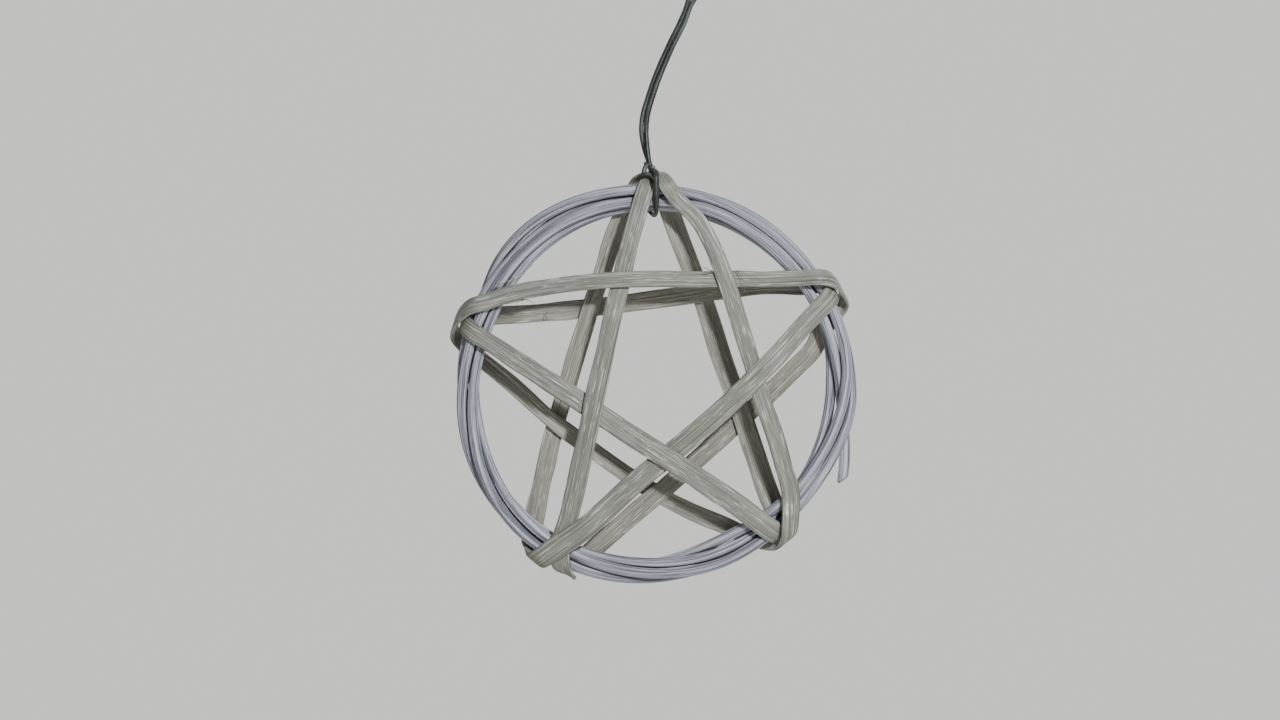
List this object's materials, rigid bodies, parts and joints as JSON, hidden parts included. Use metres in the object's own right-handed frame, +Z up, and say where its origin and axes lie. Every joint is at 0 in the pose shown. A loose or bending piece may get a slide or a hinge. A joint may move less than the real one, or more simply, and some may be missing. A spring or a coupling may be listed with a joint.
{
  "type": "woven reed star ornament",
  "caption": "Hanging folk ornament: a hoop of coiled round reed laced front and back with a star of flat reed strip, on a thin dark lace loop.",
  "frame": {"origin": "inside top of the hanging loop, where it rests on its pin", "axes": "+Z up as it hangs, -Y towards the viewer of the front star, +X to that viewer's right"},
  "size_m": [0.1536, 0.0216, 0.236],
  "materials": {
    "painted_round_reed": "matt pale blue-grey wash over fine grain",
    "flat_reed": "satin grey-beige split reed with lengthwise grain",
    "dark_lace": "worn dark lace"
  },
  "bodies": {
    "root": {"hoop_coil": "painted_round_reed", "star_strip": "flat_reed", "hanging_lace": "dark_lace"}
  },
  "joints": []
}
